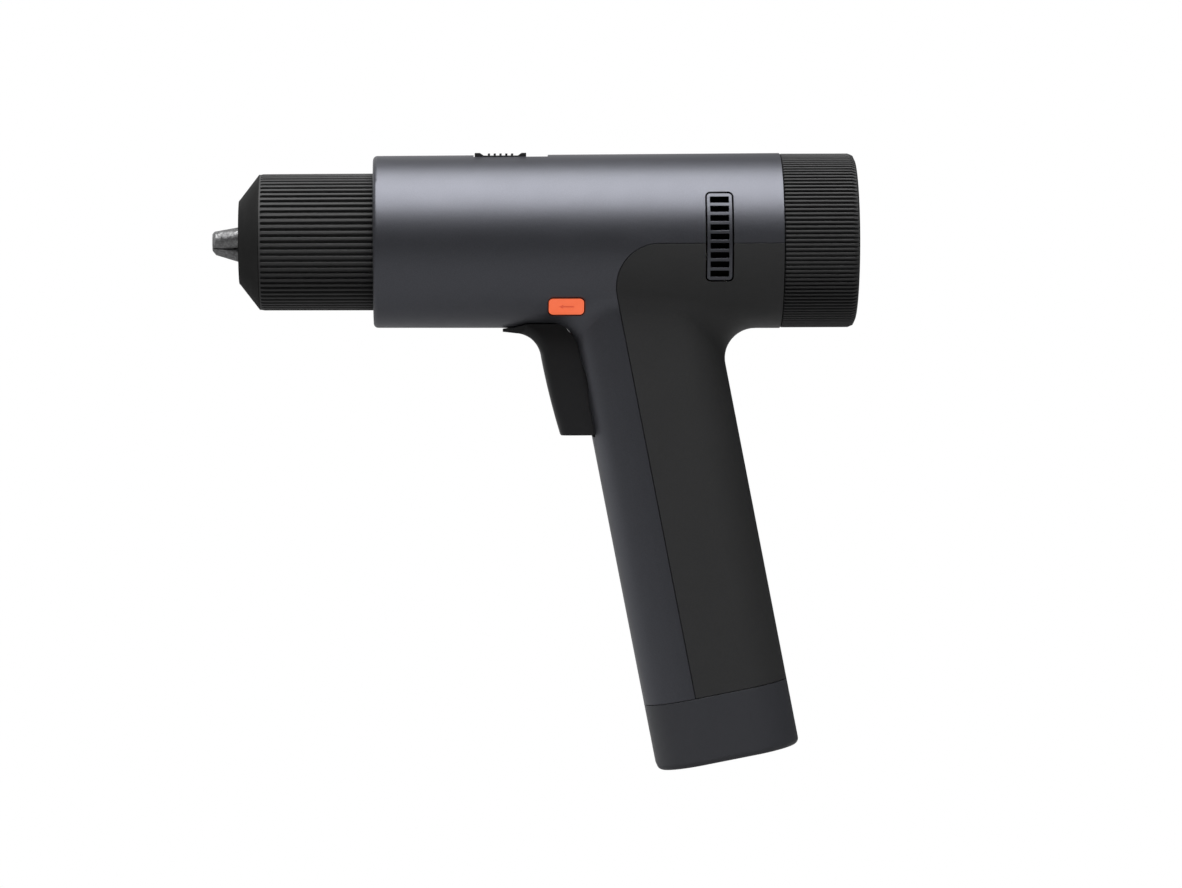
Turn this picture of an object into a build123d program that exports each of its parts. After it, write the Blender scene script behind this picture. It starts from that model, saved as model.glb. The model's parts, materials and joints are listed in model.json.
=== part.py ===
from build123d import *
import os
from math import cos, pi, radians, sin, tan

os.makedirs("parts", exist_ok=True)

# Cordless pistol-grip drill driver.
# Frame: origin on the spindle axis in the plane of the jaw tips, +X towards the rear knob,
# +Z up, +Y towards the tool's own right side. The jaws grip at x = 0 and point along -X.

# Housing
barrel_front = 50.0
barrel_rear = 176.5
barrel_front_radius = 26.75
barrel_rear_radius = 27.3
barrel_mouth_radius = 21.9
barrel_edge_fillet = 1.4
handle_tilt = 10.85
handle_axis_x = 129.2
handle_depth = 44.9
handle_width = 39.0
handle_corner = 14.0
handle_start = 6.0
handle_seam = 142.8
handle_bottom = 164.2
neck_fillet = 9.7
shell_wall = 2.4
cover_wall = 1.8
seam_gap = 0.25
cover_top = -0.7
cover_bottom = -150.0
cover_corner = 13.2
cavity_front = 52.4
cavity_rear = 174.0

# Housing screws: across the tool, heads on its right side
screw_points = ((134.0, -33.0), (149.0, -33.0), (127.5, -74.0), (155.0, -72.0))
screw_radius = 1.5
screw_head_radius = 2.8
screw_head_hole = 3.1
screw_boss_radius = 4.0
screw_tip_y = -9.0
screw_seat_y = 12.0
screw_head_y = 14.0

# Base screws: up through the base cap, under the foot pad
base_screw_depth = -12.6
base_screw_sides = (-13.3, 13.3)
base_screw_radius = 1.2
base_head_radius = 2.2
base_boss_radius = 2.9
base_seat = 161.2
pad_seat = 162.6

# Trigger, in the outline of the tool seen from its side
trigger_half_width = 9.5
trigger_side_gap = 0.3
trigger_back = 122.5
finger_rounding = 3.0
trigger_bottom = -60.3
tongue_tip = (90.2, -28.1)
tongue_root = (95.0, -28.6)
finger_top = (102.2, -36.2)
trigger_foot = (108.1, trigger_bottom)
scoop_rim = (103.6, -25.2)
scoop_middle = (112.6, -34.0)
scoop_heel = (116.6, -46.0)
scoop_foot = (117.0, trigger_bottom)
plunger_height = -49.0

# Push button and selector
button_center = (109.6, -20.2)
button_size = (10.8, 4.9)
button_corner = 1.3
button_gap = 0.4
button_height = 0.45
selector_front = 81.7
selector_rear = 97.6
selector_half_width = 5.5
selector_ribs = (86.1, 87.9, 89.7, 91.5, 93.3)

# Vent grille
vent_center = (156.6, 1.2)
vent_size = (7.7, 26.6)
vent_corner = 1.1
vent_gap = 0.5
vent_slots = 9
vent_pitch = 2.84
vent_slot_size = (5.8, 1.9)

# Gear train: two planetary stages of the same size, 4.5 to 1 each
module = 0.8
sun_teeth = 12
planet_teeth = 15
ring_teeth = 42
planet_orbit = module * (sun_teeth + planet_teeth) / 2
planet_angles = (90, 210, 330)
pin_radius = 1.5
running_fit = 0.06
case_bore = 20.4
case_radius = 23.2

# Chuck
jaw_angles = (36, 156, 276)
jaw_radius = 2.9
jaw_slope = 17.2
jaw_axis_offset = 0.57
jaw_length = 34.5
jaw_land = 0.75
sleeve_ribs = 69
sleeve_rib_steps = ((20.35, 0.60), (21.1, 0.45), (21.3, 0.27))
knob_ribs = 122
knob_rib_steps = ((26.3, 0.42), (26.95, 0.33), (27.1, 0.2))

# Motor
shaft_radius = 2.5
stator_radius = 19.0
stator_poles = 6

# Battery
cell_radius = 9.1
cell_length = 65.0
cell_start = 86.0
cell_offset = 9.4
holder_shift = -0.7


def box(x0, x1, y0, y1, z0, z1):
    center = Pos((x0 + x1) / 2, (y0 + y1) / 2, (z0 + z1) / 2)
    return center * Box(x1 - x0, y1 - y0, z1 - z0)


def turned(*profile):
    return revolve(Plane.XZ * make_face(Polyline(*profile, close=True)), Axis.X)


def ring(x0, x1, outer, inner=0.0):
    return turned((x0, inner), (x1, inner), (x1, outer), (x0, outer))


def rod(x0, x1, radius, y, z):
    start = Plane(origin=(x0, y, z), z_dir=(1, 0, 0))
    return start * Cylinder(radius, x1 - x0, align=(Align.CENTER, Align.CENTER, Align.MIN))


def cross_rod(x, z, radius, y0, y1):
    start = Plane(origin=(x, y0, z), z_dir=(0, 1, 0))
    return start * Cylinder(radius, y1 - y0, align=(Align.CENTER, Align.CENTER, Align.MIN))


def side_prism(face, half_width):
    """A face drawn in X and Z, given thickness across the tool."""
    return extrude(Plane.XZ * face, half_width, both=True)


def axial(x):
    """A section plane across the spindle axis, its own x towards +Y and y towards +Z."""
    return Plane(origin=(x, 0, 0), x_dir=(0, 1, 0), z_dir=(1, 0, 0))


def spin(shape, angle):
    return shape.rotate(Axis.X, angle)


def toothed(count, steps, first=0.0):
    """A closed outline with one tooth of straight flanks every 360 / count degrees.

    steps lists (radius, half thickness) from the tooth's root to its tip.
    """
    rising = [(r, -h) for r, h in steps]
    falling = [(r, h) for r, h in reversed(steps)]
    points = []
    for tooth in range(count):
        middle = radians(first) + 2 * pi * tooth / count
        for radius, offset in rising + falling:
            angle = middle + offset / radius
            points.append((radius * cos(angle), radius * sin(angle)))
    return make_face(Polyline(*points, close=True))


def gear(x0, x1, teeth, bore, first=0.0):
    pitch = module * teeth / 2
    outline = toothed(teeth, [(pitch - 0.95, 0.62), (pitch, 0.52), (pitch + 0.68, 0.24)], first)
    return extrude(axial(x0) * outline, x1 - x0) - ring(x0 - 1, x1 + 1, bore)


def ring_gear(x0, x1, outer):
    pitch = module * ring_teeth / 2
    gaps = toothed(ring_teeth, [(pitch - 0.68, 1.02), (pitch, 0.75), (pitch + 0.95, 0.42)], 90)
    return ring(x0, x1, outer) - extrude(axial(x0) * gaps, x1 - x0)


# The handle hangs from the barrel and leans to the rear going down.
slant_sin = sin(radians(handle_tilt))
slant_cos = cos(radians(handle_tilt))


def handle_plane(along):
    """Plane across the handle: its own x to the tool's rear, its normal down the handle."""
    origin = (handle_axis_x + along * slant_sin, 0, -along * slant_cos)
    return Plane(origin=origin, x_dir=(slant_cos, 0, slant_sin), z_dir=(slant_sin, 0, -slant_cos))


def handle_block(t0, t1, depth, width, corner, shift=0.0):
    section = Pos(shift, 0) * RectangleRounded(depth, width, corner)
    return extrude(handle_plane(t0) * section, t1 - t0)


def handle_rod(t0, t1, radius, depth, y):
    section = Pos(depth, y) * Circle(radius)
    return extrude(handle_plane(t0) * section, t1 - t0)


def body_at(inset, t_end=handle_seam):
    """Barrel and handle with their blended neck, moved inwards by inset."""
    barrel = turned(
        (barrel_front, 0),
        (barrel_front, barrel_front_radius - inset),
        (barrel_rear, barrel_rear_radius - inset),
        (barrel_rear, 0),
    )
    depth = handle_depth - 2 * inset
    width = handle_width - 2 * inset
    handle = handle_block(handle_start, t_end, depth, width, handle_corner - inset)
    body = barrel + handle
    return fillet(new_edges(barrel, handle, combined=body), neck_fillet + inset)


def cover_region(shrink):
    """The lower rear of the barrel and the back of the handle, bounded by the styling seam."""
    slope = tan(radians(handle_tilt))
    front_at_top = 124.5 - (14.0 + cover_top) * slope
    front_at_bottom = front_at_top + (cover_top - cover_bottom) * slope
    outline = Polyline(
        (front_at_top, cover_top),
        (200, cover_top),
        (200, cover_bottom),
        (front_at_bottom, cover_bottom),
        close=True,
    )
    face = make_face(outline)
    corner = face.vertices().sort_by(Axis.Y)[-2:].sort_by(Axis.X)[0]
    face = fillet(corner, cover_corner)
    if shrink:
        face = offset(face, -shrink)
    return side_prism(face, 40)


def scoop(wall=0.0):
    """Hollow behind the trigger, cut right across the front of the handle, or grown by a wall."""
    rim = (scoop_rim[0] + wall, scoop_rim[1] + wall)
    middle = (scoop_middle[0] + 0.8 * wall, scoop_middle[1] + 0.6 * wall)
    heel = (scoop_heel[0] + wall, scoop_heel[1])
    floor = trigger_bottom - wall
    hollow = ThreePointArc(rim, middle, heel)
    hollow = hollow + Polyline(heel, (scoop_foot[0] + wall, floor), (98, floor), (98, rim[1]), rim)
    return side_prism(make_face(hollow), 30) - ring(80, 140, barrel_rear_radius - wall)


def trigger_slot():
    """Slot in the handle that the trigger slides in."""
    outline = Polyline(
        (99, -20),
        (113.5, -20),
        (120, -30.5),
        (125.5, -38),
        (132, -38),
        (132, trigger_bottom - 0.5),
        (99, trigger_bottom - 0.5),
        close=True,
    )
    return side_prism(make_face(outline), trigger_half_width + trigger_side_gap) - ring(80, 140, 27.0)


outer_body = body_at(0)
cavity_limits = box(cavity_front, cavity_rear, -40, 40, -200, 60)
region = cover_region(0)

front_rim = outer_body.edges().filter_by(GeomType.CIRCLE).sort_by(Axis.X)[0]
outer_body = fillet(front_rim, barrel_edge_fillet)
outer_body = outer_body - scoop()

cover_layer = (outer_body - body_at(cover_wall)) & region
deep = shell_wall + cover_wall - 0.2
cavity = (body_at(shell_wall, handle_seam + 1) - region) + body_at(deep, handle_seam + 1)
cavity = (cavity & cavity_limits) - scoop(shell_wall)


def button_prism(grow):
    length = button_size[0] + 2 * grow
    height = button_size[1] + 2 * grow
    return side_prism(Pos(*button_center) * RectangleRounded(length, height, button_corner + grow), 30)


def button_hole():
    """The two ends of the button's passage; a wall on the centre plane parts them."""
    return button_prism(button_gap) - box(90, 130, -3, 3, -40, 0)


def vent_prism(grow, side):
    width = vent_size[0] + 2 * grow
    height = vent_size[1] + 2 * grow
    face = Pos(*vent_center) * RectangleRounded(width, height, vent_corner + grow)
    return side_prism(face, 40) & box(140, 175, min(0, 40 * side), max(0, 40 * side), -30, 30)


def selector_recess():
    pocket = box(81.3, 104.5, -5.8, 5.8, 20, 30) - ring(70, 120, 25.6)
    slot = box(83.8, 101.8, -3.0, 3.0, 15, 30)
    return pocket + slot


inner_works = cavity
for x0, x1 in ((57.0, 59.0), (72.0, 74.0)):
    inner_works = inner_works - ring(x0, x1, 26.0, case_radius)
for x0, x1 in ((120.0, 122.0), (134.0, 136.0)):
    inner_works = inner_works - ring(x0, x1, 26.0, stator_radius)
button_wall = box(102.5, 117, -1.2, 1.2, -30, -16.5) - box(105.2, 114.0, -2, 2, -22.7, -20.3)
inner_works = inner_works - button_wall
switch_rib = box(137, 140, -30, 30, -58, -38) - box(136, 141, -8, 8, -60, -36)
inner_works = inner_works - switch_rib
for x, z in screw_points:
    inner_works = inner_works - cross_rod(x, z, screw_boss_radius, -30, 30)
for y in base_screw_sides:
    inner_works = inner_works - handle_rod(130, 150, base_boss_radius, base_screw_depth, y)

shell = outer_body - cover_layer - inner_works
shell = shell - ring(45, 55, barrel_mouth_radius) - ring(170, 180, 20.3)
shell = shell - trigger_slot() - button_hole() - selector_recess()
for side in (-1, 1):
    shell = shell - vent_prism(vent_gap, side)
for x, z in screw_points:
    shell = shell - cross_rod(x, z, screw_radius, screw_tip_y, 30)
    shell = shell - cross_rod(x, z, screw_head_hole, screw_seat_y, 30)
for y in base_screw_sides:
    shell = shell - handle_rod(129, 150, base_screw_radius, base_screw_depth, y)

left_housing = shell & box(0, 250, -60, 0, -250, 60)
right_housing = shell & box(0, 250, 0, 60, -250, 60)

rear_grip_cover = cover_layer & cover_region(seam_gap)
for side in (-1, 1):
    rear_grip_cover = rear_grip_cover - vent_prism(vent_gap, side)


def vent_grille(side):
    """A plate level with the barrel, with a ladder of slots."""
    plate = vent_prism(0, side) & ring(140, 175, 27.15, 25.3)
    x0 = vent_center[0] - vent_slot_size[0] / 2
    x1 = vent_center[0] + vent_slot_size[0] / 2
    for row in range(vent_slots):
        z = vent_center[1] + (row - (vent_slots - 1) / 2) * vent_pitch
        half = vent_slot_size[1] / 2
        plate = plate - box(x0, x1, -40, 40, z - half, z + half)
    return plate


# Base: a cap over the cell pack, a rubber foot and a charging socket
cap_wall = 2.6
cap_fillet = 1.8
cap_bottom = handle_bottom - 0.4
port_top = 154.8
port_bottom = 158.0
inner_depth = handle_depth - 2 * cap_wall
inner_width = handle_width - 2 * cap_wall
base_cap = handle_block(handle_seam + seam_gap, cap_bottom, handle_depth, handle_width, handle_corner)
base_cap = fillet(base_cap.faces().sort_by(Axis.Z)[0].edges(), cap_fillet)
base_cap = base_cap - handle_block(handle_seam, base_seat, inner_depth, inner_width, handle_corner - cap_wall)
for y in base_screw_sides:
    base_cap = base_cap + handle_rod(148, 162, base_boss_radius, base_screw_depth, y)
    base_cap = base_cap - handle_rod(140, 170, base_screw_radius, base_screw_depth, y)
    base_cap = base_cap - handle_rod(base_seat, pad_seat, base_head_radius, base_screw_depth, y)
base_cap = base_cap - handle_block(pad_seat, 166, 34.0, 28.0, 9.0)
base_cap = base_cap - handle_block(port_top, port_bottom, 12, 9.0, 1.5, 20)

foot_pad = handle_block(pad_seat, handle_bottom, 33.8, 27.8, 8.9)
charge_port = handle_block(port_top, port_bottom, 8.5, 9.0, 1.5, 17.7)
charge_port = charge_port - handle_block(port_top + 1, port_bottom - 1, 6.0, 6.6, 0.55, 19.5)

# Screws
housing_screws = []
for x, z in screw_points:
    screw = cross_rod(x, z, screw_radius, screw_tip_y, screw_seat_y)
    screw = screw + cross_rod(x, z, screw_head_radius, screw_seat_y, screw_head_y)
    housing_screws.append(screw - box(x - 1.6, x + 1.6, screw_head_y - 1, 15, z - 0.3, z + 0.3))
housing_screws = Compound(children=housing_screws)
base_screws = []
for y in base_screw_sides:
    shank = handle_rod(132, base_seat, base_screw_radius, base_screw_depth, y)
    head = handle_rod(base_seat, pad_seat, base_head_radius, base_screw_depth, y)
    base_screws.append(shank + head)
base_screws = Compound(children=base_screws)

# Battery pack of two cells along the handle's depth
cell_end = cell_start + cell_length
cells = []
for side in (-1, 1):
    cells.append(handle_rod(cell_start, cell_end, cell_radius, holder_shift + side * cell_offset, 0))
battery_cells = Compound(children=cells)
cell_holder = handle_block(cell_start - 2.5, cell_end + 2, 38.0, 19.4, 9.0, holder_shift)
cell_holder = cell_holder - handle_block(
    cell_start, cell_end, 2 * cell_offset, 2 * cell_radius, 1.0, holder_shift
)
for side in (-1, 1):
    room = handle_rod(cell_start, cell_end, cell_radius, holder_shift + side * cell_offset, 0)
    cell_holder = cell_holder - room
battery_board = handle_block(cell_end + 2, cell_end + 3.6, 30, 18, 2, holder_shift)

# Gear case and planetary gears
gear_case = turned(
    (54, 6.5),
    (56, 6.5),
    (56, 13),
    (66.5, 13),
    (66.5, case_bore),
    (99, case_bore),
    (99, case_radius),
    (57, case_radius),
    (54, 20.2),
)
lug_angles = range(0, 360, 60)
for angle in lug_angles:
    gear_case = gear_case - spin(box(80, 99, case_bore - 1, 21.9, -2.5, 2.5), angle)
gear_case = gear_case - box(84, 95.5, -3.2, 3.2, 19, 25)

ring_gear_fixed = ring_gear(69.5, 79.0, case_bore)
ring_gear_sliding = ring_gear(82.9, 92.4, 20.2)
for angle in lug_angles:
    ring_gear_sliding = ring_gear_sliding + spin(box(83.5, 92.0, 19.6, 21.6, -2.3, 2.3), angle)
fork_groove = ring(86.9, 88.9, 23, 19.0)
ring_gear_sliding = ring_gear_sliding - fork_groove


def planets(x0, x1):
    """Three planets, each with a gap facing the sun and a tooth facing the ring's gap."""
    made = []
    for angle in planet_angles:
        wheel = gear(x0, x1, planet_teeth, pin_radius + running_fit, 0)
        made.append(spin(wheel.translate((0, planet_orbit, 0)), angle))
    return made


def pins(x0, x1):
    group = []
    for angle in planet_angles:
        y = planet_orbit * cos(radians(angle))
        z = planet_orbit * sin(radians(angle))
        group.append(rod(x0, x1, pin_radius, y, z))
    return group


stage_2_planets = planets(71, 78)
stage_1_planets = planets(83.2, 91)

stage_1_carrier = ring(80, 82.6, 14.5)
for pin in pins(82.6, 92.0):
    stage_1_carrier = stage_1_carrier + pin
stage_1_carrier = stage_1_carrier + gear(71, 80, sun_teeth, 0.8, 90)

spindle = turned(
    (34, 2.1),
    (34, 5),
    (48, 5),
    (48, 8),
    (52, 8),
    (52, 6),
    (67.5, 6),
    (67.5, 14.5),
    (70.4, 14.5),
    (70.4, 0),
    (50, 0),
    (50, 2.1),
)
for pin in pins(70.4, 79.0):
    spindle = spindle + pin

spindle_bearing_outer = ring(56, 63, 13, 10.6)
spindle_bearing_inner = ring(56, 63, 8, 6)


def ball_set(x, orbit, radius, count):
    group = []
    for k in range(count):
        angle = 2 * pi * k / count
        group.append(Pos(x, orbit * cos(angle), orbit * sin(angle)) * Sphere(radius))
    return group


spindle_bearing_balls = Compound(children=ball_set(59.5, 9.32, 1.26, 10))

# Chuck
slope_x = cos(radians(jaw_slope))
slope_r = sin(radians(jaw_slope))


def jaw_line(angle):
    """Frame of one jaw: origin where its axis meets the tip plane, z along the jaw."""
    out = (cos(radians(angle)), sin(radians(angle)))
    origin = (0, jaw_axis_offset * out[0], jaw_axis_offset * out[1])
    return Plane(origin=origin, z_dir=(slope_x, slope_r * out[0], slope_r * out[1]))


def jaw_cylinder(angle, start, end, radius):
    return jaw_line(angle) * Pos(0, 0, start) * Cylinder(
        radius, end - start, align=(Align.CENTER, Align.CENTER, Align.MIN)
    )


def jaw(angle):
    blank = jaw_cylinder(angle, -4, jaw_length, jaw_radius)
    tip_limit = turned((0, 0), (0, 2.6), (1.0, 3.8), (1.0, 30), (60, 30), (60, 0))
    wedge = make_face(Polyline((0.2, 0), (20, 34.0), (20, -34.0), close=True))
    sector = spin(extrude(axial(-5) * wedge, 60), angle)
    return (blank & tip_limit & sector) - ring(-5, 20, jaw_land)


jaws = [jaw(angle) for angle in jaw_angles]


def cone_radius(x, extra):
    return jaw_axis_offset + tan(radians(jaw_slope)) * x + extra


chuck_body = turned(
    (8.8, 5.6),
    (8.8, 7.4),
    (9.3, 7.9),
    (13, 7.9),
    (18, 13.0),
    (25.4, 13.0),
    (25.4, cone_radius(25.4, 2.2)),
    (34.6, cone_radius(34.6, 2.2)),
    (34.6, 18.5),
    (48, 18.5),
    (48, 5),
    (34, 5),
    (34, 2.1),
    (31, 2.1),
    (31, 5),
    (9.6, 5),
)
for angle in jaw_angles:
    chuck_body = chuck_body - jaw_cylinder(angle, 3, 60, jaw_radius + running_fit)

chuck_nut = turned(
    (25.7, cone_radius(25.7, jaw_radius / slope_x + 0.07)),
    (34.3, cone_radius(34.3, jaw_radius / slope_x + 0.07)),
    (34.3, 18.6),
    (25.7, 18.6),
)

chuck_screw = ring(27.6, 31, 4.2) + ring(31, 46, 2.1)
chuck_screw = chuck_screw - ring(27, 29.6, 2.0)

sleeve_front = turned(
    (8.3, 8.3),
    (8.3, 12.9),
    (8.6, 13.2),
    (14.6, 21.0),
    (15.3, 21.05),
    (15.3, 18.6),
    (15.3, 12.0),
    (12.4, 8.3),
)
sleeve_rib_face = toothed(sleeve_ribs, sleeve_rib_steps)
sleeve_limit = turned((15.3, 0), (15.3, 21.05), (16.0, 21.2), (50.8, 21.3), (51.5, 20.8), (51.5, 0))
sleeve_bore = turned(
    (15.3, 0),
    (15.3, 12.0),
    (17.4, 13.4),
    (25.7, 13.4),
    (25.7, 18.6),
    (34.3, 18.6),
    (34.5, 18.9),
    (52, 18.9),
    (52, 0),
)
sleeve_grip = extrude(axial(15.3) * sleeve_rib_face, 36.2) & sleeve_limit
chuck_sleeve = sleeve_front + (sleeve_grip - sleeve_bore)

# Motor
motor_front_plate = ring(99, 102, 22.0, 4.6) + ring(102, 107, 10.2, 8.0)
motor_rear_bracket = ring(141.5, 146.5, 10.4, 8.0) + ring(141.5, 146.5, 23.0, 21.0)
for angle in range(30, 390, 60):
    motor_rear_bracket = motor_rear_bracket + spin(box(142.5, 145.5, 9.5, 21.8, -1.5, 1.5), angle)

stator_core = ring(118, 138, stator_radius, 16.6)
stator_windings = []
for pole in range(stator_poles):
    tooth = box(118, 138, 9.6, 17.2, -2, 2)
    stator_core = stator_core + spin(tooth, 60 * pole)
    coil = box(115.5, 140.5, 11.0, 15.8, -3.9, 3.9) - box(118, 138, 9, 17, -2, 2)
    stator_windings.append(spin(coil, 60 * pole))
stator_windings = Compound(children=stator_windings)

motor_shaft = ring(83.2, 161, shaft_radius)
motor_pinion = gear(83.2, 91.5, sun_teeth, shaft_radius, 90)
rotor = ring(117, 139, 8.9, shaft_radius)
fan_blade_count = 11
cooling_fan = ring(149, 159.5, 6.5, shaft_radius) + ring(149, 150.2, 19.5, 6)
for blade in range(fan_blade_count):
    vane = box(150.0, 159.5, 6.0, 19.2, -0.5, 0.5)
    cooling_fan = cooling_fan + spin(vane, 360 * blade / fan_blade_count)

motor_bearings_outer = Compound(children=[ring(102, 107, 8.0, 6.3), ring(141.5, 146.5, 8.0, 6.3)])
motor_bearings_inner = Compound(children=[ring(102, 107, 4.1, 2.5), ring(141.5, 146.5, 4.1, 2.5)])
motor_bearing_balls = Compound(
    children=ball_set(104.5, 5.2, 1.06, 8) + ball_set(144.0, 5.2, 1.06, 8)
)

# Rear knob, the hub it turns on and the display inside it
knob_hub = ring(171.4, 174.0, 22.6, 17.0) + ring(174.0, 196.3, 20.2, 17.0)
for angle in (30, 150, 270):
    y = 19.6 * cos(radians(angle))
    z = 19.6 * sin(radians(angle))
    knob_hub = knob_hub + rod(166.8, 171.4, 1.5, y, z)
driver_board = ring(165.2, 166.8, 22.0, 3.5)
knob_rib_face = toothed(knob_ribs, knob_rib_steps)
knob_front = barrel_rear + 0.3
knob_limit = turned(
    (knob_front, 0),
    (knob_front, 26.8),
    (knob_front + 0.3, 27.1),
    (197.9, 27.1),
    (199.3, 26.5),
    (199.9, 25.2),
    (199.9, 0),
)
knob_bore = ring(170, 196.0, 20.26) + ring(196.0, 201, 22.6)
mode_knob = (extrude(axial(knob_front) * knob_rib_face, 24.0) & knob_limit) - knob_bore
encoder_board = ring(184.0, 185.6, 17.0)
display_module = box(192.5, 196.8, -10, 10, -7, 7)
display_backing = ring(190.9, 192.5, 17.0)
knob_retainer = ring(196.3, 199.0, 22.3, 16.0)
display_window = ring(196.8, 198.7, 16.0)

# Top selector, its fork, and the two-way push button
selector_pad = box(selector_front, selector_rear, -selector_half_width, selector_half_width, 24, 27.5)
selector_pad = selector_pad - ring(70, 120, 25.85)
thumb_hollow = Polyline(
    (83.2, 28.5),
    (83.2, 27.5),
    (84.4, 26.7),
    (95.0, 26.7),
    (96.2, 27.5),
    (96.2, 28.5),
    close=True,
)
selector_pad = selector_pad - side_prism(make_face(thumb_hollow), 8)
for x in selector_ribs:
    selector_pad = selector_pad + box(x - 0.3, x + 0.3, -4.6, 4.6, 26.3, 27.35)
gear_selector = selector_pad + box(85.0, 94.0, -2.8, 2.8, 24.2, 26.5)
shift_fork = box(87.1, 88.7, -2.6, 2.6, 19.2, 24.2)

button_cap = button_prism(0) & body_at(-button_height)
button_core = box(100, 120, -13.5, 13.5, -30, -10) - box(105.5, 113.7, -20, 20, -22.4, -20.6)
direction_button = button_cap - button_core

# Trigger, its plunger and spring, and the switch behind it
finger_line = Polyline((tongue_tip[0], -24.0), tongue_tip, tongue_root)
finger_line = finger_line + ThreePointArc(tongue_root, (100.1, -31.4), finger_top)
finger_line = finger_line + ThreePointArc(finger_top, (104.7, -47.8), trigger_foot)
trigger_outline = finger_line + Polyline(
    trigger_foot,
    (trigger_back, trigger_bottom),
    (trigger_back, -40.0),
    (118.2, -38.0),
    (112.5, -30.0),
    (107.0, -24.0),
    (tongue_tip[0], -24.0),
)
trigger_plan = Polyline(
    (tongue_tip[0], -3.0),
    (97.5, -trigger_half_width),
    (125, -trigger_half_width),
    (125, trigger_half_width),
    (97.5, trigger_half_width),
    (tongue_tip[0], 3.0),
    close=True,
)
trigger = side_prism(make_face(trigger_outline), trigger_half_width)
finger_edges = []
for edge in trigger.edges():
    middle = edge.center()
    on_side = abs(abs(middle.Y) - trigger_half_width) < 0.01
    if on_side and middle.X < 106.5 and trigger_bottom + 0.1 < middle.Z < -27:
        finger_edges.append(edge)
trigger = fillet(finger_edges, finger_rounding)
trigger = trigger & extrude(make_face(trigger_plan), 80, both=True)
trigger = trigger - ring(80, 130, 27.35)
trigger = trigger - box(119.0, 123, -8, 8, -58.5, -41)
trigger_plunger = rod(119.0, 139.0, 2.0, 0, plunger_height)
switch_module = box(132.0, 152.0, -8, 8, -58, -38) - rod(131, 146.0, 2.06, 0, plunger_height)


def coil_spring(x0, x1, mean_radius, wire, turns, z):
    length = x1 - x0 - wire
    path = Helix(length / turns, length, mean_radius)
    start = path.position_at(0)
    direction = path.tangent_at(0)
    section = Plane(origin=start, z_dir=direction) * Circle(wire / 2)
    coil = sweep(section, path)
    place = Plane(origin=(x0 + wire / 2, 0, z), z_dir=(1, 0, 0))
    return place * coil


trigger_spring = coil_spring(119.1, 131.9, 3.6, 0.7, 6, plunger_height)

nodes = {
    "left_housing": left_housing,
    "right_housing": right_housing,
    "rear_grip_cover": rear_grip_cover,
    "left_vent_grille": vent_grille(-1),
    "right_vent_grille": vent_grille(1),
    "base_cap": base_cap,
    "foot_pad": foot_pad,
    "charge_port": charge_port,
    "housing_screws": housing_screws,
    "base_screws": base_screws,
    "battery_cells": battery_cells,
    "cell_holder": cell_holder,
    "battery_board": battery_board,
    "gear_case": gear_case,
    "ring_gear_fixed": ring_gear_fixed,
    "ring_gear_sliding": ring_gear_sliding,
    "shift_fork": shift_fork,
    "gear_selector": gear_selector,
    "stage_1_carrier": stage_1_carrier,
    "spindle": spindle,
    "spindle_bearing_outer": spindle_bearing_outer,
    "spindle_bearing_inner": spindle_bearing_inner,
    "spindle_bearing_balls": spindle_bearing_balls,
    "chuck_body": chuck_body,
    "chuck_nut": chuck_nut,
    "chuck_screw": chuck_screw,
    "chuck_sleeve": chuck_sleeve,
    "motor_front_plate": motor_front_plate,
    "motor_rear_bracket": motor_rear_bracket,
    "stator_core": stator_core,
    "stator_windings": stator_windings,
    "rotor": rotor,
    "motor_shaft": motor_shaft,
    "motor_pinion": motor_pinion,
    "cooling_fan": cooling_fan,
    "motor_bearings_outer": motor_bearings_outer,
    "motor_bearings_inner": motor_bearings_inner,
    "motor_bearing_balls": motor_bearing_balls,
    "mode_knob": mode_knob,
    "knob_hub": knob_hub,
    "knob_retainer": knob_retainer,
    "driver_board": driver_board,
    "encoder_board": encoder_board,
    "display_backing": display_backing,
    "display_module": display_module,
    "display_window": display_window,
    "trigger": trigger,
    "trigger_plunger": trigger_plunger,
    "trigger_spring": trigger_spring,
    "switch_module": switch_module,
    "direction_button": direction_button,
}
for number in range(3):
    nodes[f"jaw_{number + 1}"] = jaws[number]
    nodes[f"stage_1_planet_{number + 1}"] = stage_1_planets[number]
    nodes[f"stage_2_planet_{number + 1}"] = stage_2_planets[number]

for name, shape in nodes.items():
    export_step(shape, f"parts/{name}.step")
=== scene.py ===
import bpy
import bmesh
import json
import math
from mathutils import Matrix, Vector
from mathutils.bvhtree import BVHTree


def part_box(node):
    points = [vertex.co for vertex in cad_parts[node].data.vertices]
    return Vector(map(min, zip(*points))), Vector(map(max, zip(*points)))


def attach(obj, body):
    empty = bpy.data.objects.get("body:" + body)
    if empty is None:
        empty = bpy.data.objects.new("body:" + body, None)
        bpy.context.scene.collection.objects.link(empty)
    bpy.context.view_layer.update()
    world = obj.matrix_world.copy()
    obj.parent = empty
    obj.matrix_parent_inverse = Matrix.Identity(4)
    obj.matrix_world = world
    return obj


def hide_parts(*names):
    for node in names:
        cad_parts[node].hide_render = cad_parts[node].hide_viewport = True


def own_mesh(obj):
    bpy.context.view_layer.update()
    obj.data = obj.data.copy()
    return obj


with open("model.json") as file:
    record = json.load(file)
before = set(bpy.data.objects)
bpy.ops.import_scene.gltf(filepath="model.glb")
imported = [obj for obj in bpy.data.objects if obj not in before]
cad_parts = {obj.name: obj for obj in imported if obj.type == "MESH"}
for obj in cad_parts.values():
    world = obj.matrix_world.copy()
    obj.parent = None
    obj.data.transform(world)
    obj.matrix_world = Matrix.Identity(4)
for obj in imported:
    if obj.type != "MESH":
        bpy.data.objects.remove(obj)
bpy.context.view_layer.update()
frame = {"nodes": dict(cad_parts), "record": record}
scene = bpy.context.scene
nodes = frame["nodes"]
MM = 0.001

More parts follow.
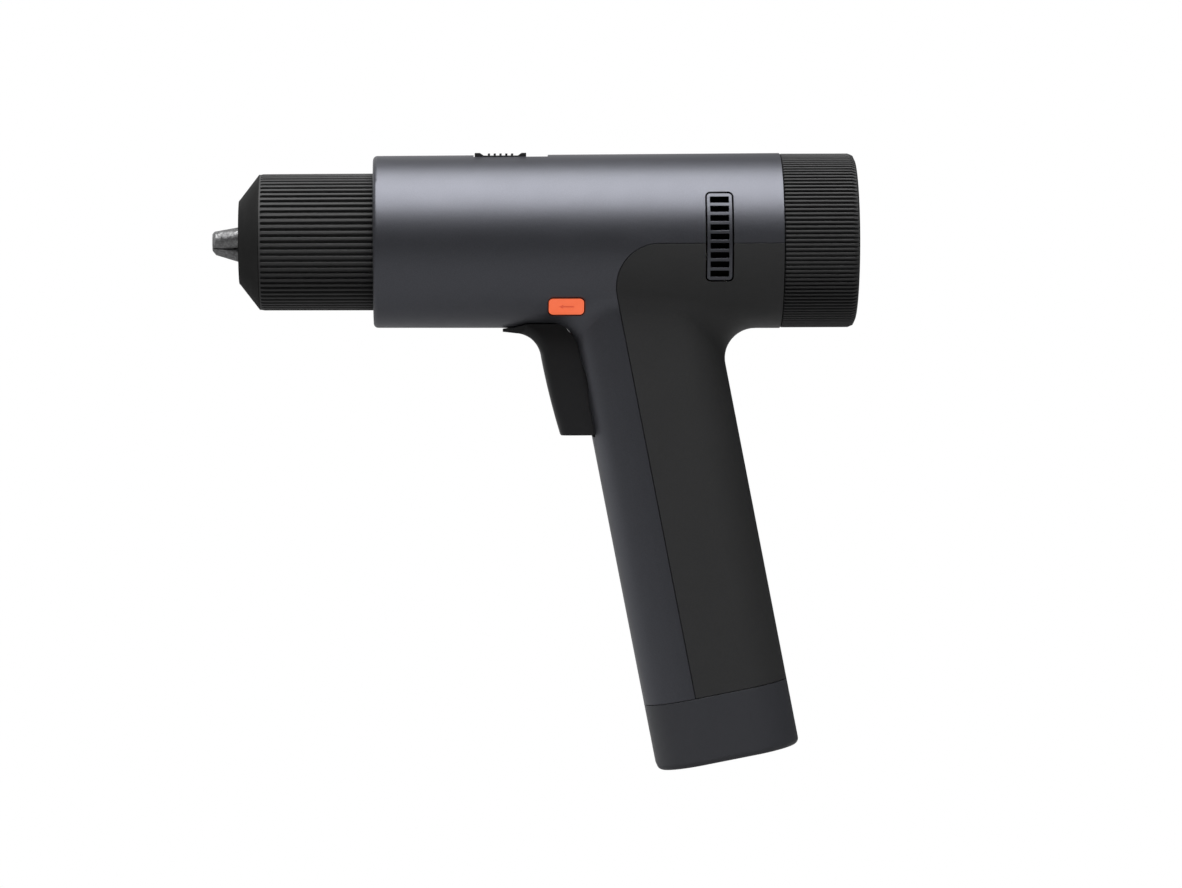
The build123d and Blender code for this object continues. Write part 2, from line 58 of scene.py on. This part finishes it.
CAMERA_SPOT = (0.066, -1.6, -0.0045)
CAMERA_AIM = (0.1176, 0.0, -0.0633)
CAMERA_ROLL = -0.208        # degrees
CAMERA_LENS = 156.16
FLOOR_HEIGHT = -0.215
FLOOR_HALF = 6.0
FLOOR_GREY = 0.35           # what the floor bounces; the camera sees it white
FILL_STRENGTH = 0.06

# name, place, aim, size, power
LIGHTS = (
    ("key_top", (0.02, -0.26, 0.92), (0.09, 0, 0.0), (1.1, 1.1), 27.0),
    ("side_left", (-1.0, 0.5, -0.15), (0.11, 0, -0.1), (1.1, 1.2), 6.0),
    ("backdrop", (-0.65, 1.1, 0.4), (-0.3, 0, 0.0), (1.9, 1.2), 5.0),
)

# Noise scales, in cycles per metre of the object
CLOUD_SCALE = 40.0
GLOSS_SCALE = 130.0
EDGE_BREAKUP_SCALE = 420.0
DIMPLE_SCALE = 650.0
BRUSHED = (1.0, 14.0, 14.0)
WAVE_UNIT = 0.314           # a wave texture of scale 1 repeats every 0.314 m

# Cosine between the rounded normal and the true one, where the painted edge highlight starts and
# where it is full
EDGE_HIGHLIGHT_FROM, EDGE_HIGHLIGHT_FULL = 0.98, 0.80

NOSE_END = 0.0149           # the chuck sleeve's plain cone ends here
SCREEN_RADIUS = 25.1 * MM
SCREEN_THICKNESS = 0.25 * MM
MARK_THICKNESS = 0.03 * MM
OUTSIDE = 0.06              # a Y further out than any part of the drill


# ---------------------------------------------------------------- camera
def look_at(obj, target, roll=0.0):
    away = obj.location - Vector(target)
    turn = away.to_track_quat("Z", "Y").to_matrix()
    obj.rotation_euler = (turn @ Matrix.Rotation(math.radians(roll), 3, "Z")).to_euler()


def make_camera():
    data = bpy.data.cameras.new("camera")
    data.sensor_width = 36.0
    data.lens = CAMERA_LENS
    data.clip_start = 0.05
    data.clip_end = 20.0
    cam = bpy.data.objects.new("camera", data)
    scene.collection.objects.link(cam)
    cam.location = CAMERA_SPOT
    look_at(cam, CAMERA_AIM, CAMERA_ROLL)
    scene.camera = cam


make_camera()


# ---------------------------------------------------------------- stage and light
def node_tree(material):
    material.use_nodes = True
    tree = material.node_tree
    tree.nodes.clear()
    return tree, tree.nodes, tree.links


def stage_material():
    mat = bpy.data.materials.new("stage_white")
    tree, n, link = node_tree(mat)
    out = n.new("ShaderNodeOutputMaterial")
    mix = n.new("ShaderNodeMixShader")
    path = n.new("ShaderNodeLightPath")
    glow = n.new("ShaderNodeEmission")
    glow.inputs["Color"].default_value = (1, 1, 1, 1)
    glow.inputs["Strength"].default_value = 1.0
    plain = n.new("ShaderNodeBsdfDiffuse")
    plain.inputs["Color"].default_value = (FLOOR_GREY, FLOOR_GREY, FLOOR_GREY, 1)
    link.new(path.outputs["Is Camera Ray"], mix.inputs[0])
    link.new(plain.outputs[0], mix.inputs[1])
    link.new(glow.outputs[0], mix.inputs[2])
    link.new(mix.outputs[0], out.inputs["Surface"])
    return mat


def make_stage():
    mesh = bpy.data.meshes.new("floor")
    corners = [(-1, -1), (1, -1), (1, 1), (-1, 1)]
    verts = [(x * FLOOR_HALF, y * FLOOR_HALF, FLOOR_HEIGHT) for x, y in corners]
    mesh.from_pydata(verts, [], [(0, 1, 2, 3)])
    floor = bpy.data.objects.new("floor", mesh)
    mesh.materials.append(stage_material())
    scene.collection.objects.link(floor)


def area(name, location, target, size, power):
    data = bpy.data.lights.new(name, "AREA")
    data.shape = "RECTANGLE"
    data.size, data.size_y = size
    data.energy = power
    lamp = bpy.data.objects.new(name, data)
    scene.collection.objects.link(lamp)
    lamp.location = location
    lamp.visible_camera = False
    look_at(lamp, target)


def make_world():
    world = bpy.data.worlds.new("world")
    scene.world = world
    world.use_nodes = True
    n, link = world.node_tree.nodes, world.node_tree.links
    n.clear()
    out = n.new("ShaderNodeOutputWorld")
    mix = n.new("ShaderNodeMixShader")
    path = n.new("ShaderNodeLightPath")
    seen = n.new("ShaderNodeBackground")
    fill = n.new("ShaderNodeBackground")
    seen.inputs["Color"].default_value = (1, 1, 1, 1)
    seen.inputs["Strength"].default_value = 1.0
    fill.inputs["Color"].default_value = (0.95, 0.97, 1.0, 1)
    fill.inputs["Strength"].default_value = FILL_STRENGTH
    link.new(path.outputs["Is Camera Ray"], mix.inputs[0])
    link.new(fill.outputs[0], mix.inputs[1])
    link.new(seen.outputs[0], mix.inputs[2])
    link.new(mix.outputs[0], out.inputs["Surface"])


make_stage()
make_world()
for light in LIGHTS:
    area(*light)
scene.view_settings.view_transform = "Standard"
scene.view_settings.look = "None"


# ---------------------------------------------------------------- materials
def noise(tree, where, scale, detail=3.0, stretch=None):
    """Noise over the object's own coordinates, drawn out along an axis where stretch asks."""
    n, link = tree.nodes, tree.links
    field = n.new("ShaderNodeTexNoise")
    field.inputs["Scale"].default_value = scale
    field.inputs["Detail"].default_value = detail
    if stretch is None:
        link.new(where, field.inputs["Vector"])
    else:
        squeeze = n.new("ShaderNodeMapping")
        squeeze.inputs["Scale"].default_value = stretch
        link.new(where, squeeze.inputs["Vector"])
        link.new(squeeze.outputs["Vector"], field.inputs["Vector"])
    return field.outputs["Fac"]


def remap(tree, value, low, high, to_low, to_high):
    node = tree.nodes.new("ShaderNodeMapRange")
    node.inputs["From Min"].default_value = low
    node.inputs["From Max"].default_value = high
    node.inputs["To Min"].default_value = to_low
    node.inputs["To Max"].default_value = to_high
    tree.links.new(value, node.inputs["Value"])
    return node.outputs["Result"]


def blend_colors(tree, factor, a, b):
    """a and b are colours or the outputs of other nodes."""
    node = tree.nodes.new("ShaderNodeMix")
    node.data_type = "RGBA"
    for socket, value in (("A", a), ("B", b)):
        if isinstance(value, bpy.types.NodeSocket):
            tree.links.new(value, node.inputs[socket])
        else:
            node.inputs[socket].default_value = (*value, 1)
    tree.links.new(factor, node.inputs["Factor"])
    return node.outputs["Result"]


def edge_mask(tree, rounded, where):
    """1 along sharp edges, broken up by noise, where the painted edge highlight goes: the rounded
    normal leaves the true one there.
    """
    n, link = tree.nodes, tree.links
    geometry = n.new("ShaderNodeNewGeometry")
    dot = n.new("ShaderNodeVectorMath")
    dot.operation = "DOT_PRODUCT"
    link.new(rounded, dot.inputs[0])
    link.new(geometry.outputs["Normal"], dot.inputs[1])
    near = remap(tree, dot.outputs["Value"], EDGE_HIGHLIGHT_FROM, EDGE_HIGHLIGHT_FULL, 0.0, 1.0)
    painted_edge_light = remap(tree, noise(tree, where, EDGE_BREAKUP_SCALE, 4.0), 0.40, 0.62, 0.15, 1.0)
    product = n.new("ShaderNodeMath")
    product.operation = "MULTIPLY"
    product.use_clamp = True
    link.new(near, product.inputs[0])
    link.new(painted_edge_light, product.inputs[1])
    return product.outputs["Value"]


def weave(tree, where, pitch):
    """Height of a plain woven mesh with one wire every pitch metres."""
    n, link = tree.nodes, tree.links
    heights = []
    for axis in ("X", "Z"):
        wave = n.new("ShaderNodeTexWave")
        wave.bands_direction = axis
        wave.inputs["Scale"].default_value = WAVE_UNIT / pitch
        link.new(where, wave.inputs["Vector"])
        heights.append(wave.outputs["Fac"])
    top = n.new("ShaderNodeMath")
    top.operation = "MAXIMUM"
    link.new(heights[0], top.inputs[0])
    link.new(heights[1], top.inputs[1])
    return top.outputs["Value"]


def finish(name, color, rough, metal=0.0, specular=0.5, coat=0.0, glow=0.0,
           cloud=0.05, speckle=0.05, speckle_scale=2600.0, smear=0.04,
           grain=0.15, grain_scale=3500.0, stretch=None, dimple=0.0,
           round_off=0.0002, edge_highlight=0.25, mesh_pitch=0.0, shaded_nose=None):
    """A finish: drifting colour, fine speckle, uneven gloss, surface grain and sharp edges painted
    lighter as a painted highlight.

    The last argument gives the front cone's colour, painted near black as painted shade, and how
    much rougher the cone is.
    """
    mat = bpy.data.materials.new(name)
    tree, n, link = node_tree(mat)
    out = n.new("ShaderNodeOutputMaterial")
    shader = n.new("ShaderNodeBsdfPrincipled")
    link.new(shader.outputs[0], out.inputs["Surface"])
    shader.inputs["Metallic"].default_value = metal
    shader.inputs["Coat Weight"].default_value = coat
    shader.inputs["Coat Roughness"].default_value = 0.12
    shader.inputs["Specular IOR Level"].default_value = specular
    where = n.new("ShaderNodeTexCoord").outputs["Object"]

    low = [c * (1 - cloud) for c in color]
    high = [c * (1 + cloud) for c in color]
    base = blend_colors(tree, noise(tree, where, CLOUD_SCALE, 4.0), low, high)
    if speckle:
        spots = remap(tree, noise(tree, where, speckle_scale, 1.0, stretch), 0.35, 0.65, 0.0, 1.0)
        dark = [c * (1 - speckle) for c in color]
        light = [c * (1 + speckle) for c in color]
        fine = blend_colors(tree, spots, dark, light)
        half = n.new("ShaderNodeMix")
        half.data_type = "RGBA"
        half.inputs["Factor"].default_value = 0.5
        link.new(base, half.inputs["A"])
        link.new(fine, half.inputs["B"])
        base = half.outputs["Result"]

    rounded = n.new("ShaderNodeBevel")
    rounded.samples = 4
    rounded.inputs["Radius"].default_value = round_off
    normal = rounded.outputs["Normal"]
    # Sharp edges painted lighter, broken up by noise: a painted edge highlight on a new, unworn
    # drill.
    if edge_highlight:
        painted_edge_light = [min(1.0, c * 1.6 + 0.04 * edge_highlight) for c in color]
        mask = remap(tree, edge_mask(tree, normal, where), 0.0, 1.0, 0.0, edge_highlight)
        base = blend_colors(tree, mask, base, painted_edge_light)
    # Front cone of the sleeve painted near black: painted shade, where the left-hand light falls
    # on it.
    if shaded_nose:
        split = n.new("ShaderNodeSeparateXYZ")
        link.new(where, split.inputs["Vector"])
        behind = remap(tree, split.outputs["X"], NOSE_END - 0.1 * MM, NOSE_END, 0.0, 1.0)
        base = blend_colors(tree, behind, shaded_nose[0], base)
    link.new(base, shader.inputs["Base Color"])
    # Emission in the base colour: on the display ink it is the screen's own light; on the orange
    # accents it is painted light, a glow the plastic does not give.
    if glow:
        link.new(base, shader.inputs["Emission Color"])
        shader.inputs["Emission Strength"].default_value = glow

    gloss = noise(tree, where, GLOSS_SCALE, 4.0, stretch)
    uneven = remap(tree, gloss, 0.3, 0.7, rough - smear, rough + smear)
    if shaded_nose:
        scaled = n.new("ShaderNodeMath")
        scaled.operation = "MULTIPLY"
        link.new(uneven, scaled.inputs[0])
        link.new(remap(tree, behind, 0.0, 1.0, shaded_nose[1], 1.0), scaled.inputs[1])
        uneven = scaled.outputs["Value"]
    link.new(uneven, shader.inputs["Roughness"])

    heights = []
    if grain:
        heights.append((noise(tree, where, grain_scale, 2.0, stretch), grain, 0.1 * MM))
    if dimple:
        heights.append((noise(tree, where, DIMPLE_SCALE, 3.0), dimple, 0.4 * MM))
    if mesh_pitch:
        heights.append((weave(tree, where, mesh_pitch), 0.9, mesh_pitch * 0.5))
    for height, strength, distance in heights:
        bump = n.new("ShaderNodeBump")
        bump.inputs["Strength"].default_value = strength
        bump.inputs["Distance"].default_value = distance
        link.new(height, bump.inputs["Height"])
        link.new(normal, bump.inputs["Normal"])
        normal = bump.outputs["Normal"]
    link.new(normal, shader.inputs["Normal"])
    return mat


finishes = {
    "shell": finish("shell", (0.083, 0.085, 0.097), 0.44, metal=0.9, cloud=0.02, speckle=0.10,
                    speckle_scale=3600.0, smear=0.012, grain=0.10, edge_highlight=0.5),
    "shell_dark": finish("shell_dark", (0.030, 0.030, 0.0305), 0.5, specular=0.25, grain=0.25,
                         speckle=0.08, edge_highlight=0.4),
    "base": finish("base", (0.034, 0.035, 0.041), 0.5, grain=0.2, specular=0.35, edge_highlight=0.4),
    # The front cone's colour is painted near black: painted shade.
    "ribbed": finish("ribbed", (0.045, 0.045, 0.0455), 0.55, grain=0.2, specular=0.12,
                     round_off=0.00012, edge_highlight=0.5, shaded_nose=((0.006, 0.006, 0.006), 1.3)),
    "dust_screen": finish("dust_screen", (0.002, 0.002, 0.0022), 0.7, specular=0.1, edge_highlight=0.0,
                          mesh_pitch=0.0004),
    "trigger": finish("trigger", (0.010, 0.010, 0.011), 0.55, specular=0.3, grain=0.3, edge_highlight=0.3),
    # The orange button glows in its own colour: painted light, the plastic being no lamp.
    "accent": finish("accent", (1.0, 0.175, 0.066), 0.38, glow=0.5, cloud=0.02, speckle=0.03,
                     grain=0.1, edge_highlight=0.2),
    # The orange arrows glow as well: painted light.
    "accent_mark": finish("accent_mark", (0.80, 0.115, 0.048), 0.5, glow=0.4, cloud=0.02,
                          speckle=0.0, grain=0.1, edge_highlight=0.0),
    "rubber": finish("rubber", (0.02, 0.02, 0.02), 0.78, grain=0.4, dimple=0.3, specular=0.3),
    "jaw_steel": finish("jaw_steel", (0.17, 0.17, 0.172), 0.42, metal=1.0, cloud=0.5, speckle=0.45,
                        speckle_scale=1500.0, smear=0.12, grain=0.4, dimple=0.8, edge_highlight=0.7),
    "steel": finish("steel", (0.5, 0.5, 0.52), 0.3, metal=1.0, grain=0.2, stretch=BRUSHED),
    "screw_steel": finish("screw_steel", (0.04, 0.04, 0.045), 0.35, metal=0.8, edge_highlight=0.6),
    "gear_steel": finish("gear_steel", (0.42, 0.42, 0.43), 0.38, metal=1.0, edge_highlight=0.5, smear=0.08),
    "aluminium": finish("aluminium", (0.62, 0.62, 0.64), 0.45, metal=1.0, grain=0.3,
                        grain_scale=1500.0, dimple=0.2),
    "gear_plastic": finish("gear_plastic", (0.72, 0.70, 0.64), 0.5),
    "iron": finish("iron", (0.22, 0.22, 0.24), 0.45, metal=1.0, grain=0.4,
                   stretch=(30.0, 1.0, 1.0)),
    "copper": finish("copper", (0.72, 0.30, 0.12), 0.3, metal=1.0, grain=0.6, grain_scale=900.0,
                     stretch=(6.0, 1.0, 1.0)),
    "board": finish("board", (0.01, 0.10, 0.05), 0.3, coat=0.3),
    "cell": finish("cell", (0.05, 0.28, 0.22), 0.3, coat=0.4, speckle=0.02),
    "holder": finish("holder", (0.03, 0.03, 0.032), 0.55, grain=0.25),
    "screen": finish("screen", (0.004, 0.004, 0.005), 0.08, smear=0.03, grain=0.0, coat=0.6,
                     edge_highlight=0.0),
    "display": finish("display", (0.02, 0.02, 0.022), 0.4),
    "display_ink": finish("display_ink", (0.55, 0.57, 0.60), 0.5, glow=0.15, edge_highlight=0.0),
}

slot_of = {s["node"]: s["material_slot"] for s in frame["record"]["subparts"]}
for name, obj in nodes.items():
    obj.data.materials.clear()
    obj.data.materials.append(finishes[slot_of[name]])


# ---------------------------------------------------------------- added pieces
def piece(name, verts, faces, body, look):
    """A closed mesh made of the given points, in metres, riding on a body."""
    mesh = bpy.data.meshes.new(name)
    mesh.from_pydata(verts, [], faces)
    mesh.materials.append(finishes[look])
    obj = bpy.data.objects.new(name, mesh)
    scene.collection.objects.link(obj)
    tidy = bmesh.new()
    tidy.from_mesh(mesh)
    bmesh.ops.recalc_face_normals(tidy, faces=tidy.faces)
    tidy.to_mesh(mesh)
    tidy.free()
    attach(obj, body)
    return obj


def arc_sheet(name, box, side, radius, thickness, body, look, steps=24):
    """A thin sheet bent round the spindle axis, behind a vent."""
    (x0, _, z0), (x1, _, z1) = box
    verts = []
    for k in range(steps + 1):
        z = z0 + (z1 - z0) * k / steps
        for r in (radius, radius - thickness):
            y = side * math.sqrt(r * r - z * z)
            verts += [(x0, y, z), (x1, y, z)]
    faces = []
    for k in range(steps):
        a, b = 4 * k, 4 * k + 4
        faces += [(a, a + 1, b + 1, b), (a + 2, a + 3, b + 3, b + 2)]
        faces += [(a, a + 2, b + 2, b), (a + 1, a + 3, b + 3, b + 1)]
    last = 4 * steps
    faces += [(0, 1, 3, 2), (last, last + 1, last + 3, last + 2)]
    return piece(name, verts, faces, body, look)


def dust_screens():
    """A woven sheet behind each vent grille, inside its outline."""
    for side, node in ((-1, "left_vent_grille"), (1, "right_vent_grille")):
        low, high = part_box(node)
        inset = 0.15 * MM
        around = ((low[0] + inset, 0, low[2] + inset), (high[0] - inset, 0, high[2] - inset))
        arc_sheet(node.replace("grille", "screen"), around, side, SCREEN_RADIUS, SCREEN_THICKNESS,
                  "housing", "dust_screen")


def surface_of(node):
    """A tree to find points on a node's skin, its meshes being in the shared frame."""
    shape = bmesh.new()
    shape.from_mesh(nodes[node].data)
    tree = BVHTree.FromBMesh(shape)
    shape.free()
    return tree


def raised_mark(name, node, side, outline, center, lift, body, look):
    """A flat mark on a node's side surface: outline is in X and Z around center, in metres."""
    skin = surface_of(node)
    verts = []
    for proud in (lift, -lift):
        for x, z in outline:
            start = Vector((center[0] + x, side * OUTSIDE, center[1] + z))
            spot, normal, _, _ = skin.ray_cast(start, Vector((0, -side, 0)))
            verts.append(spot + normal * proud)
    count = len(outline)
    faces = [tuple(range(count)), tuple(range(2 * count - 1, count - 1, -1))]
    faces += [(k, (k + 1) % count, count + (k + 1) % count, count + k) for k in range(count)]
    return piece(name, verts, faces, body, look)


def button_arrows():
    """A plain arrow on each end of the direction button, pointing forwards on one side only."""
    shaft, head, length, neck = 0.22 * MM, 0.62 * MM, 2.3 * MM, 1.1 * MM
    low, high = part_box("direction_button")
    center = ((low[0] + high[0]) / 2, (low[2] + high[2]) / 2)
    for side, name in ((-1, "button_mark_left"), (1, "button_mark_right")):
        outline = [(-length, 0), (-neck, head), (-neck, shaft), (length, shaft),
                   (length, -shaft), (-neck, -shaft), (-neck, -head)]
        outline = [(-side * x, z) for x, z in outline]
        raised_mark(name, "direction_button", side, outline, center, MARK_THICKNESS,
                    "direction_button", "accent_mark")


def slabs(name, outlines, x, thickness, body, look):
    """Thin marks on a face across the spindle axis: each outline is four corners in Y and Z."""
    verts, faces = [], []
    for outline in outlines:
        base = len(verts)
        verts += [(x, y, z) for y, z in outline]
        verts += [(x + thickness, y, z) for y, z in outline]
        faces += [(base, base + 1, base + 2, base + 3), (base + 4, base + 7, base + 6, base + 5)]
        for k in range(4):
            follow = (k + 1) % 4
            faces.append((base + k, base + follow, base + 4 + follow, base + 4 + k))
    return piece(name, verts, faces, body, look)


def rectangle(y0, y1, z0, z1):
    return [(y0, z0), (y1, z0), (y1, z1), (y0, z1)]


def tick(angle, r0, r1, half_width):
    """A bar along a radius, as four corners in Y and Z."""
    c, s = math.cos(angle), math.sin(angle)
    corners = ((r0, -half_width), (r1, -half_width), (r1, half_width), (r0, half_width))
    return [(r * c - w * s, r * s + w * c) for r, w in corners]


def display_marks():
    """A ring of ticks and a plain battery sign on the window at the back."""
    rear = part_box("display_window")[1][0]
    count, gap_from, gap_to = 40, 15, 25
    inner_long, inner_short, outer, half_width = 11.4, 12.2, 13.6, 0.16
    outlines = []
    for k in range(count):
        if not gap_from <= k <= gap_to:
            inner = inner_short if k % 5 else inner_long
            angle = math.radians(90 + 360 * k / count)
            outlines.append(tick(angle, inner * MM, outer * MM, half_width * MM))
    w, h, line = 3.6 * MM, 1.7 * MM, 0.22 * MM
    outlines += [rectangle(-w, w, h - line, h), rectangle(-w, w, -h, -h + line)]
    outlines += [rectangle(-w, -w + line, -h + line, h - line),
                 rectangle(w - line, w, -h + line, h - line)]
    outlines.append(rectangle(w + 0.1 * MM, w + 0.6 * MM, -0.7 * MM, 0.7 * MM))
    for k in range(3):
        left = -w + (0.7 + 2.1 * k) * MM
        outlines.append(rectangle(left, left + 1.5 * MM, -h + 0.6 * MM, h - 0.6 * MM))
    slabs("display_marks", outlines, rear - 0.01 * MM, MARK_THICKNESS,
          "housing", "display_ink")


def trigger_coil():
    """The trigger's return spring, copied from its CAD node onto the housing."""
    mesh = nodes["trigger_spring"].data.copy()
    mesh.name = "trigger_coil"
    coil = bpy.data.objects.new("trigger_coil", mesh)
    scene.collection.objects.link(coil)
    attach(coil, "housing")
    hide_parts("trigger_spring")
    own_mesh(coil)


dust_screens()
button_arrows()
display_marks()
trigger_coil()
